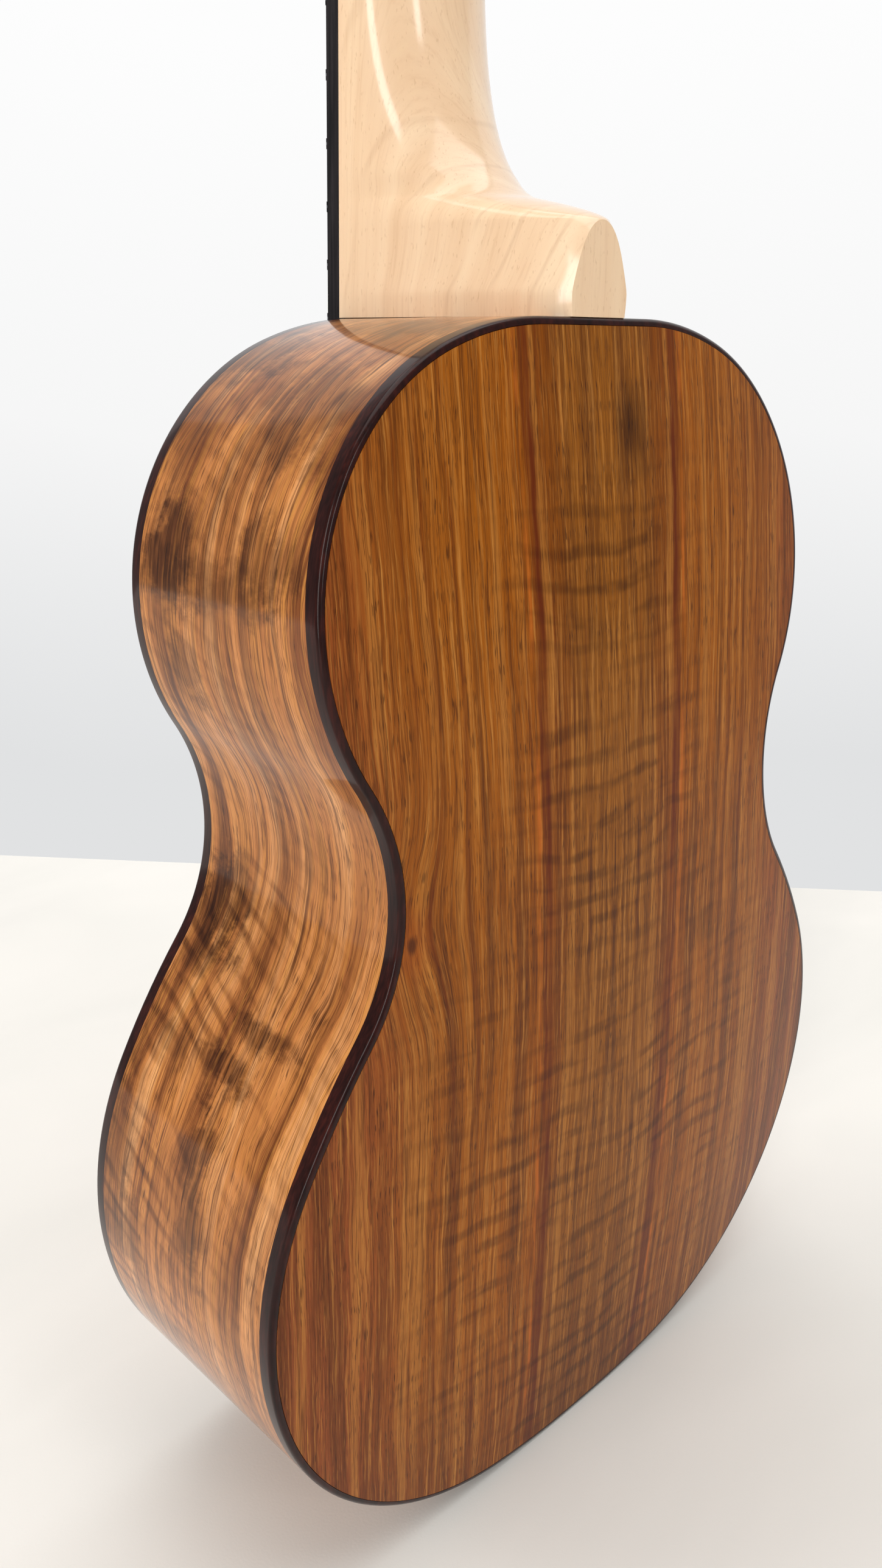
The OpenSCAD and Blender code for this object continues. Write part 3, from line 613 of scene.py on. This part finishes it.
def back_wood():
    """Figured acacia in two halves matched about the centre seam."""
    g = Graph("back_wood")
    x, _, z = g.place_mm()
    mirrored = g.math("ABSOLUTE", x)
    sway = g.mul(g.add(g.noise(mirrored, z, 1.3, size=(70, 130, 1), detail=2), -0.5), 7.0)
    ripple = g.mul(g.add(g.noise(mirrored, z, 4.1, size=(9, 30, 1), detail=2), -0.5), 1.2)
    # The grain parts round a pin knot near the waist's edge
    bend = g.mul(g.bump_at(z, 163, 30), g.bump_at(x, 62, 22))
    across = g.add(g.add(g.add(mirrored, sway), ripple), g.mul(bend, -6.0))
    # Colour by distance from the seam: olive brown, a red line, warm orange, then a rosy brown
    tint = g.add(across, g.mul(g.add(g.noise(mirrored, z, 6.0, size=(12, 110, 1), detail=2), -0.5), 14.0))
    base = g.ramp(g.mul(tint, 0.01), [
        (0.0, srgb(144, 84, 16)), (0.13, srgb(144, 84, 18)), (0.2, srgb(132, 68, 4)), (0.28, srgb(154, 82, 6)),
        (0.42, srgb(156, 86, 12)), (0.6, srgb(150, 82, 18)), (0.78, srgb(142, 72, 28)), (1.0, srgb(136, 70, 34))])
    base = g.mix(g.clamp_range(z, 60, 5, 0.0, 0.8), base, g.mix(1.0, base, srgb(206, 190, 176), "MULTIPLY"))
    colour, height, rough = figured_wood(g, base, across, z, 2.0, strength=1.1)
    # Red-brown growth lines beside the seam, and a bright orange edge next to the strongest
    lean = g.mul(g.add(z, -150.0), -0.012)
    shiver = g.mul(g.add(g.noise(mirrored, z, 61.0, size=(4, 13, 1), detail=2), -0.5), 1.8)
    drift = g.add(g.add(g.add(across, lean), g.mul(sway, -0.6)), shiver)
    for at, width, strength in GROWTH_LINES:
        line = g.bump_at(drift, at, width)
        patch = g.clamp_range(g.noise(z, at, 3.0, size=(30, 1, 1), detail=3), 0.35, 0.6, 0.35, 1.0)
        colour = g.mix(g.mul(g.mul(line, patch), strength), colour, srgb(100, 38, 2))
    broken = g.clamp_range(g.noise(z, 9.0, 3.0, size=(24, 1, 1), detail=2), 0.4, 0.6)
    edge = g.mul(g.bump_at(drift, 25.8, 1.0), broken)
    colour = g.mix(g.mul(edge, 0.7), colour, srgb(196, 104, 30))
    # Curl near the seam, and across the middle of the lower bout
    climb = g.add(z, g.mul(mirrored, -0.08))
    bars = curl_bars(g, g.add(x, 60.0), climb, 6.6, 12.0)
    near_seam = g.mul(g.clamp_range(mirrored, 18, 46, 1.0, 0.0), g.clamp_range(z, 262, 225))
    lower_band = g.mul(g.clamp_range(z, 15, 45), g.clamp_range(z, 165, 118))
    lower = g.mul(g.clamp_range(mirrored, 44, 80, 1.0, 0.0), lower_band)
    patchy = g.clamp_range(g.noise(mirrored, z, 21.0, size=(26, 38, 1), detail=2), 0.34, 0.56, 0.25, 1.0)
    amount = g.mul(g.mul(bars, g.math("MAXIMUM", near_seam, lower)), patchy)
    colour = g.mix(g.mul(amount, 0.72), colour, g.mix(1.0, colour, srgb(180, 172, 132), "MULTIPLY"))
    # Smoky patches: high on the seam, and low on the bass side
    for spot_x, spot_z, reach_x, reach_z, strength in SMOKY_PATCHES:
        wobble = g.mul(g.add(g.noise(x, z, 51.0, size=(2.2, 15, 1), detail=2), -0.5), 8.0)
        spot = g.mul(g.bump_at(g.add(x, wobble), spot_x, reach_x), g.bump_at(g.add(z, wobble), spot_z, reach_z))
        colour = g.mix(g.mul(spot, strength), colour, g.mix(1.0, colour, srgb(120, 112, 88), "MULTIPLY"))
    knot_x, knot_z = g.add(x, -KNOT_X), g.mul(g.add(z, -KNOT_Z), 0.6)
    away = g.math("SQRT", g.add(g.mul(knot_x, knot_x), g.mul(knot_z, knot_z)))
    colour = g.mix(g.clamp_range(away, 7.0, 1.0, 0.0, 0.4), colour, srgb(150, 68, 14))
    colour = g.mix(g.clamp_range(away, 1.7, 0.5, 0.0, 0.8), colour, srgb(66, 28, 8))
    colour = g.mix(g.mul(g.bump_at(mirrored, 0.0, 0.2), 0.35), colour, srgb(60, 30, 14))
    return g.surface(colour, g.add(0.3, rough), height, bump=0.22, bump_mm=0.05, coat=0.3, coat_rough=0.15,
                     coat_ior=1.2, specular=0.1)


# Smoky blotches on the sides, and near the shoulder (along 345 to 378) dark patches that are a painted reflection of
# the dark fretboard and neck: distance along, depth, their two reaches, and strength
SMOKE_AND_REFLECTION_BLOTCHES = [
    (313, 13, 19, 17, 1.0), (314, 46, 10, 16, 0.7), (308, 30, 8, 26, 0.6), (288, 17, 12, 9, 0.7),
    (246, 43, 12, 9, 0.2), (228, 13, 18, 16, 1.0), (207, 43, 5, 18, 0.9), (197, 34, 7, 14, 1.0),
    (196, 15, 7, 10, 0.6), (214, 12, 5, 14, 0.5), (178, 36, 17, 9, 0.85), (160, 38, 14, 9, 0.7),
    (168, 8, 26, 12, 0.6), (146, 10, 12, 14, 0.6), (126, 26, 8, 22, 0.5), (104, 38, 12, 12, 0.5),
    (92, 12, 16, 16, 0.45), (362, 10, 16, 20, 0.8), (345, 40, 24, 18, 0.6), (378, 34, 12, 26, 0.7),
]


def side_wood():
    """Figured acacia bent round the body, with smoky blotches, a painted reflection of the dark fretboard near the
    shoulder, and curl.
    """
    g = Graph("side_wood")
    along, depth, _ = g.attribute_mm("grain")
    sway = g.mul(g.add(g.noise(depth, along, 1.0, size=(30, 85, 1), detail=2), -0.5), 13.0)
    ripple = g.mul(g.add(g.noise(depth, along, 4.1, size=(8, 16, 1), detail=2), -0.5), 1.8)
    across = g.add(g.add(depth, sway), ripple)
    tone = g.noise(across, along, 33.0, size=(6, 120, 1), detail=3)
    base = g.ramp(tone, [(0.32, srgb(134, 74, 34)), (0.5, srgb(198, 126, 66)), (0.66, srgb(228, 164, 106))])
    colour, height, rough = figured_wood(g, base, across, along, 31.0, strength=1.2)
    # Cloudy shading, cooler and browner, most of it near the shoulder and the tail
    cloud = g.clamp_range(g.noise(depth, along, 71.0, size=(22, 30, 1), detail=3), 0.46, 0.62)
    spread = g.math("MAXIMUM", g.clamp_range(along, 290, 350, 0.15, 0.9), g.clamp_range(along, 175, 130, 0.15, 0.7))
    colour = g.mix(g.mul(cloud, spread), colour, g.mix(1.0, colour, srgb(178, 160, 138), "MULTIPLY"))
    # Slanting curl, strongest from the waist to the tail
    climb = g.add(along, g.mul(depth, 0.45))
    bars = curl_bars(g, depth, climb, 5.4, 14.0)
    patchy = g.clamp_range(g.noise(depth, along, 21.0, size=(24, 34, 1), detail=2), 0.32, 0.52)
    amount = g.mul(g.mul(bars, patchy),
                   g.mul(g.clamp_range(along, 300, 215, 0.35, 1.0), g.clamp_range(depth, 24, 42, 0.72, 0.25)))
    colour = g.mix(amount, colour, g.mix(1.0, colour, srgb(156, 136, 104), "MULTIPLY"))
    wobble = g.add(g.noise(depth, along, 40.0, size=(12, 10, 1), detail=5, rough=0.66), -0.5)
    blotch_breakup = g.noise(across, along, 44.0, size=(1.2, 14, 1), detail=2)
    # Darkens the smoky blotches, and near the shoulder paints a reflection of the dark fretboard and neck
    for at, deep, reach, deep_reach, strength in SMOKE_AND_REFLECTION_BLOTCHES:
        near = g.bump_at(g.add(along, g.mul(wobble, reach * 2.2)), at, reach)
        level = g.bump_at(g.add(depth, g.mul(wobble, deep_reach * -1.8)), deep, deep_reach)
        mask = g.clamp_range(g.mul(near, level), 0.0, 0.72)
        mask = g.mul(mask, g.clamp_range(blotch_breakup, 0.3, 0.6, 0.5, 1.0))
        colour = g.mix(g.mul(mask, strength * 0.95), colour, g.mix(1.0, colour, srgb(122, 104, 74), "MULTIPLY"))
    return g.surface(colour, g.add(0.3, rough), height, bump=0.2, bump_mm=0.04, coat=0.8, coat_rough=0.09,
                     coat_ior=1.25, specular=0.1)


def plain_wood(name, colour, curl=0.0, strength=0.5, coat=0.4, coat_rough=0.1):
    """Straight-grained wood running up the object, matched about its middle."""
    g = Graph(name)
    x, y, z = g.place_mm()
    mirrored = g.math("ABSOLUTE", x)
    sway = g.mul(g.add(g.noise(mirrored, z, 1.0, size=(50, 110, 1), detail=2), -0.5), 6.0)
    across = g.add(g.add(mirrored, g.mul(y, 0.6)), sway)
    shade, height, rough = figured_wood(g, colour, across, z, 17.0, strength=strength)
    if curl:
        bars = curl_bars(g, mirrored, g.add(z, g.mul(mirrored, -0.2)), 6.6, 12.0)
        shade = g.mix(g.mul(bars, curl), shade, g.mix(1.0, shade, srgb(176, 158, 128), "MULTIPLY"))
    return g.surface(shade, g.add(0.34, rough), height, bump=0.2, bump_mm=0.04, coat=coat, coat_rough=coat_rough,
                     coat_ior=1.3, specular=0.2)


def pale_wood(name, light, dark):
    """Fine even-grained wood, such as spruce or cedar, with narrow growth lines."""
    g = Graph(name)
    x, y, z = g.place_mm()
    across = g.add(g.add(x, g.mul(y, 0.7)), g.mul(g.noise(x, y, z, size=(40, 40, 120), detail=2), 5.0))
    line = g.clamp_range(g.math("SINE", g.mul(across, 5.2)), 0.2, 1.0)
    fibre = g.noise(across, z, 3.0, size=(0.3, 12, 1), detail=3)
    shade = g.mix(g.mul(line, 0.45), light, dark)
    shade = g.mix(g.clamp_range(fibre, 0.5, 0.3, 0.0, 0.3), shade, dark)
    return g.surface(shade, g.add(0.5, g.mul(fibre, 0.15)), fibre, bump=0.15, bump_mm=0.04, specular=0.3)


def maple_wood():
    """Pale close-grained maple with faint growth arches on the heel and small flecks."""
    g = Graph("maple")
    x, y, z = g.place_mm()
    sway = g.mul(g.add(g.noise(x, y, z, size=(45, 45, 150), detail=2), -0.5), 5.0)
    across = g.add(g.add(g.mul(x, 0.5), y), sway)
    fibre = g.noise(across, g.mul(x, 0.6), z, size=(0.45, 2.2, 22), detail=3, rough=0.65)
    broad = g.noise(across, x, z, size=(5, 20, 150), detail=2)
    # Growth arches: shells round a line that runs through the neck
    shell = g.math("SQRT", g.add(g.mul(x, g.mul(x, 2.2)), g.math("POWER", g.add(y, 60.0), 2.0)))
    shell = g.add(g.add(shell, g.mul(z, -0.12)), g.mul(sway, 0.7))
    ring = g.math("FRACT", g.mul(shell, 1 / 7.3))
    ring_line = g.mul(g.clamp_range(ring, 0.0, 0.07), g.clamp_range(ring, 0.17, 0.08))
    ring_line = g.mul(ring_line, g.clamp_range(g.noise(x, y, z, size=(14, 14, 20), detail=1), 0.4, 0.6))
    fleck = g.clamp_range(g.noise(x, y, z, size=(0.45, 0.45, 1.8), detail=1), 0.64, 0.74)
    colour = g.ramp(broad, [(0.3, srgb(236, 200, 162)), (0.5, srgb(241, 207, 170)), (0.7, srgb(246, 216, 180))])
    colour = g.mix(g.clamp_range(fibre, 0.52, 0.28, 0.0, 0.3), colour, srgb(216, 174, 134))
    colour = g.mix(g.clamp_range(fibre, 0.52, 0.75, 0.0, 0.3), colour, srgb(244, 212, 172))
    colour = g.mix(g.mul(fleck, 0.3), colour, srgb(196, 150, 108))
    colour = g.mix(g.mul(ring_line, 0.16), colour, srgb(178, 128, 88))
    rough = g.add(0.36, g.mul(fibre, 0.12))
    return g.surface(colour, rough, fibre, bump=0.12, bump_mm=0.03, coat=0.9, coat_rough=0.13, coat_ior=1.5,
                     specular=0.25, scatter=0.04)


def dark_binding():
    """Nearly black rosewood with a red tint, polished."""
    g = Graph("binding_wood")
    x, y, z = g.place_mm()
    streak = g.noise(x, y, z, size=(1.2, 0.5, 6), detail=3)
    cloud = g.noise(x, y, z, size=(8, 3, 20), detail=2)
    colour = g.ramp(g.add(g.mul(streak, 0.6), g.mul(cloud, 0.4)),
                    [(0.35, srgb(26, 9, 8)), (0.52, srgb(42, 15, 12)), (0.7, srgb(64, 24, 18))])
    return g.surface(colour, g.add(0.25, g.mul(streak, 0.1)), streak, bump=0.05, bump_mm=0.03,
                     coat=0.6, coat_rough=0.09, coat_ior=1.25, specular=0.1)


def ebony():
    g = Graph("fretboard_wood")
    x, y, z = g.place_mm()
    streak = g.noise(x, y, z, size=(0.6, 0.8, 30), detail=3)
    pores = g.clamp_range(g.noise(x, y, z, size=(0.3, 0.3, 4), detail=1), 0.64, 0.72)
    colour = g.ramp(streak, [(0.35, srgb(20, 18, 20)), (0.65, srgb(40, 36, 38))])
    colour = g.mix(g.mul(pores, 0.5), colour, srgb(14, 12, 12))
    height = g.add(g.mul(pores, -1.0), g.mul(streak, 0.3))
    return g.surface(colour, g.add(0.42, g.mul(streak, 0.15)), height, bump=0.2, bump_mm=0.03, specular=0.15)


def metal(name, colour, rough):
    """Plated metal with a faint brushed and smudged finish."""
    g = Graph(name)
    x, y, z = g.place_mm()
    brushed = g.noise(x, y, z, size=(2.5, 0.12, 0.12), detail=2)
    smudge = g.noise(x, y, z, size=(5, 5, 5), detail=2)
    tint = g.mix(g.mul(smudge, 0.25), colour, tuple(0.75 * c for c in colour[:3]) + (1.0,))
    roughness = g.add(rough, g.mul(g.add(brushed, smudge), 0.08))
    return g.surface(tint, roughness, brushed, bump=0.05, bump_mm=0.02, metal=1.0)


def bone():
    g = Graph("bone")
    x, y, z = g.place_mm()
    cloud = g.noise(x, y, z, size=(3, 3, 3), detail=3)
    colour = g.ramp(cloud, [(0.3, srgb(226, 212, 178)), (0.7, srgb(244, 236, 214))])
    return g.surface(colour, g.add(0.28, g.mul(cloud, 0.1)), cloud, bump=0.05, bump_mm=0.03, scatter=0.1)


def pearl():
    g = Graph("pearl")
    x, y, z = g.place_mm()
    swirl = g.noise(x, y, z, size=(3, 3, 3), detail=3, distort=1.5)
    colour = g.ramp(swirl, [(0.3, srgb(222, 214, 196)), (0.5, srgb(243, 239, 228)), (0.7, srgb(230, 232, 228))])
    return g.surface(colour, g.add(0.2, g.mul(swirl, 0.12)), swirl, bump=0.03, bump_mm=0.02,
                     coat=0.6, coat_rough=0.05, scatter=0.1)


def nylon():
    g = Graph("nylon")
    x, y, z = g.place_mm()
    cloud = g.noise(x, y, z, size=(2, 2, 6), detail=2)
    colour = g.ramp(cloud, [(0.3, srgb(214, 206, 190)), (0.7, srgb(238, 234, 222))])
    return g.surface(colour, g.add(0.22, g.mul(cloud, 0.1)), cloud, bump=0.03, bump_mm=0.01, scatter=0.15)


MATERIALS = {
    "back_wood": back_wood(),
    "side_wood": side_wood(),
    "top_wood": plain_wood("top_wood", srgb(158, 98, 44), curl=0.6, strength=0.6),
    "binding_wood": dark_binding(),
    "block_wood": plain_wood("block_wood", srgb(150, 98, 62), strength=0.4, coat=0.0),
    "lining_wood": pale_wood("lining_wood", srgb(196, 156, 110), srgb(162, 118, 78)),
    "brace_wood": pale_wood("brace_wood", srgb(224, 196, 150), srgb(194, 156, 106)),
    "bridge_wood": plain_wood("bridge_wood", srgb(60, 34, 22), strength=0.35, coat=0.1),
    "bone": bone(),
    "maple": maple_wood(),
    "fretboard_wood": ebony(),
    "nickel": metal("nickel", srgb(206, 207, 210), 0.12),
    "gear_brass": metal("gear_brass", srgb(212, 172, 96), 0.2),
    "pearl": pearl(),
    "nylon": nylon(),
}


# ---- Pieces ----

def build_pieces():
    for side, hand in ((1, "treble"), (-1, "bass")):
        back = build_back("back_half_" + hand, side, MATERIALS["back_wood"])
        place(back, ["back_plate_" + hand])
        wall = build_side("bent_side_" + hand, side, MATERIALS["side_wood"])
        place(wall, ["side_" + hand])
        for is_back, edge in ((True, "back"), (False, "top")):
            strip = build_binding(edge + "_edge_" + hand, side, is_back, MATERIALS["binding_wood"])
            place(strip, [f"{edge}_binding_{hand}"])
    place(build_soundboard(MATERIALS["top_wood"]), ["soundboard"])
    shaft = build_neck_shaft(MATERIALS["maple"])
    place(shaft, ["neck"])
    head = flat_plate("headstock_maple", [head_outline()], 0, HEAD_T, MATERIALS["maple"], bevel=1.2)
    head = to_head(drill_posts(head))
    place(head, ["neck"])
    face = flat_plate("headstock_face", [head_outline()], -VENEER_T, VENEER_T, MATERIALS["bridge_wood"], bevel=0.4)
    face = to_head(drill_posts(face))
    place(face, ["headstock_veneer"])
    place(build_fretboard(MATERIALS["fretboard_wood"]), ["fretboard"])
    place(build_frets(18, MATERIALS["nickel"]), ["frets"])
    for string in "gcea":
        button = build_button(string, MATERIALS["pearl"])
        place(button, ["tuner_button_" + string], body="tuner_shaft_" + string)


def dress_cad_nodes():
    """The CAD nodes that stay get their slot's material, smooth faces and eased edges."""
    slots = {part["node"]: part["material_slot"] for part in frame["record"]["subparts"]}
    for name, obj in frame["nodes"].items():
        obj.data.materials.clear()
        obj.data.materials.append(MATERIALS[slots[name]])
        obj.data.shade_smooth()
        obj.data.set_sharp_from_angle(angle=math.radians(35))
    for name in ("bridge", "saddle", "nut", "tuner_plates"):
        ease = frame["nodes"][name].modifiers.new("ease", "BEVEL")
        ease.width = 0.0003
        ease.segments = 2
        ease.limit_method = "ANGLE"
        ease.angle_limit = math.radians(40)
        ease.harden_normals = True


# ---- Stage: pale floor, backdrop, soft lights and camera ----

def floor_cloth():
    """White cloth with a fine weave and faint soft folds, the folds' hollows painted a little darker as painted
    shade.
    """
    g = Graph("floor_cloth")
    x, y, z = g.place_mm()
    weave = g.noise(x, y, z, size=(0.7, 0.7, 1), detail=2)
    folds = g.noise(x, y, z, size=(160, 90, 1), detail=3, distort=0.6)
    # Painted shade: the colour is darker where the folds are low and lighter where they rise
    colour = g.ramp(folds, [(0.3, srgb(229, 227, 222)), (0.7, srgb(237, 234, 229))])
    height = g.add(g.mul(weave, 0.15), g.mul(folds, 3.0))
    return g.surface(colour, g.add(0.75, g.mul(weave, 0.1)), height, bump=0.35, bump_mm=0.5, specular=0.2)


def bright_backdrop():
    """A pale wall in its own soft light, brighter towards the top."""
    g = Graph("backdrop")
    x, y, z = g.place_mm()
    cloud = g.noise(x, y, z, size=(900, 900, 900), detail=1)
    rise = g.add(g.clamp_range(z, -600, 900), g.mul(g.add(cloud, -0.5), 0.25))
    colour = g.ramp(rise, [(0.1, srgb(225, 226, 227)), (0.48, srgb(246, 246, 246)), (0.95, srgb(253, 253, 253))])
    glow = g.node("ShaderNodeEmission")
    g.feed(glow.inputs["Color"], colour)
    glow.inputs["Strength"].default_value = 1.0
    output = g.node("ShaderNodeOutputMaterial")
    g.tree.links.new(glow.outputs[0], output.inputs["Surface"])
    return g.material


def stage_sheet(name, corners, material):
    mesh = bpy.data.meshes.new(name)
    mesh.from_pydata([tuple(v * MM for v in c) for c in corners], [], [(0, 1, 2, 3)])
    mesh.materials.append(material)
    obj = bpy.data.objects.new(name, mesh)
    bpy.context.scene.collection.objects.link(obj)
    return obj


# The table's far edge runs through this point, square to this direction away from the object
TABLE_EDGE = Vector((-223, -260, 0))
AWAY = Vector((-0.758, -0.652, 0))


def build_stage():
    along = Vector((-AWAY.y, AWAY.x, 0))
    edge = [TABLE_EDGE + along * 3000, TABLE_EDGE - along * 3000]
    stage_sheet("floor", edge + [edge[1] - AWAY * 4000, edge[0] - AWAY * 4000], floor_cloth())
    wall = [AWAY * 1500 + along * reach + Vector((0, 0, up))
            for reach, up in ((2600, -1800), (-2600, -1800), (-2600, 2400), (2600, 2400))]
    stage_sheet("backdrop_sheet", wall, bright_backdrop())


def area_light(name, position, target, size, power, colour=(1, 1, 1), glossy=True):
    light = bpy.data.lights.new(name, "AREA")
    light.shape = "RECTANGLE"
    light.size, light.size_y = (s * MM for s in size)
    light.energy = power
    light.color = colour
    obj = bpy.data.objects.new(name, light)
    start, end = Vector(position) * MM, Vector(target) * MM
    obj.location = start
    obj.rotation_euler = (end - start).to_track_quat("-Z", "Y").to_euler()
    obj.visible_camera = False
    obj.visible_glossy = glossy
    bpy.context.scene.collection.objects.link(obj)


ROOM_LIGHT = 0.28


def build_lights():
    world = bpy.data.worlds.new("soft_room")
    bpy.context.scene.world = world
    world.use_nodes = True
    sky = world.node_tree.nodes["Background"]
    sky.inputs["Color"].default_value = (0.97, 0.985, 1.0, 1.0)
    sky.inputs["Strength"].default_value = ROOM_LIGHT
    middle = (0, 0, 200)
    area_light("overhead", (-100, 100, 2000), middle, (1800, 1800), 24, (1.0, 0.99, 0.97))
    area_light("tall_window", (1850, 950, 900), middle, (400, 1600), 18, (1.0, 0.98, 0.95))
    area_light("far_window", (-150, 2300, 1000), middle, (260, 1100), 9, (1.0, 0.98, 0.95))
    area_light("left_fill", (1300, -1500, 900), middle, (1300, 1300), 20, (1.0, 0.985, 0.96), glossy=False)


CAMERA_AT = (217.5, 199.8, 274.5)
CAMERA_AZIMUTH = 135.56
CAMERA_ELEVATION = 19.28
CAMERA_ROLL = 0.42
LENS_MM = 28.86
SENSOR_MM = 36.0


def build_camera():
    data = bpy.data.cameras.new("camera")
    data.sensor_fit = "VERTICAL"
    data.sensor_height = SENSOR_MM
    data.lens = LENS_MM
    data.clip_start = 0.01
    camera = bpy.data.objects.new("camera", data)
    azimuth, elevation = math.radians(CAMERA_AZIMUTH), math.radians(CAMERA_ELEVATION)
    looks = Vector((-math.sin(azimuth) * math.cos(elevation), math.cos(azimuth) * math.cos(elevation),
                    -math.sin(elevation)))
    turn = looks.to_track_quat("-Z", "Y").to_matrix().to_4x4()
    roll = Matrix.Rotation(math.radians(CAMERA_ROLL), 4, "Z")
    camera.matrix_world = Matrix.Translation(Vector(CAMERA_AT) * MM) @ turn @ roll
    bpy.context.scene.collection.objects.link(camera)
    bpy.context.scene.camera = camera


build_camera()
build_pieces()
dress_cad_nodes()
build_stage()
build_lights()
bpy.context.scene.view_settings.view_transform = "Standard"
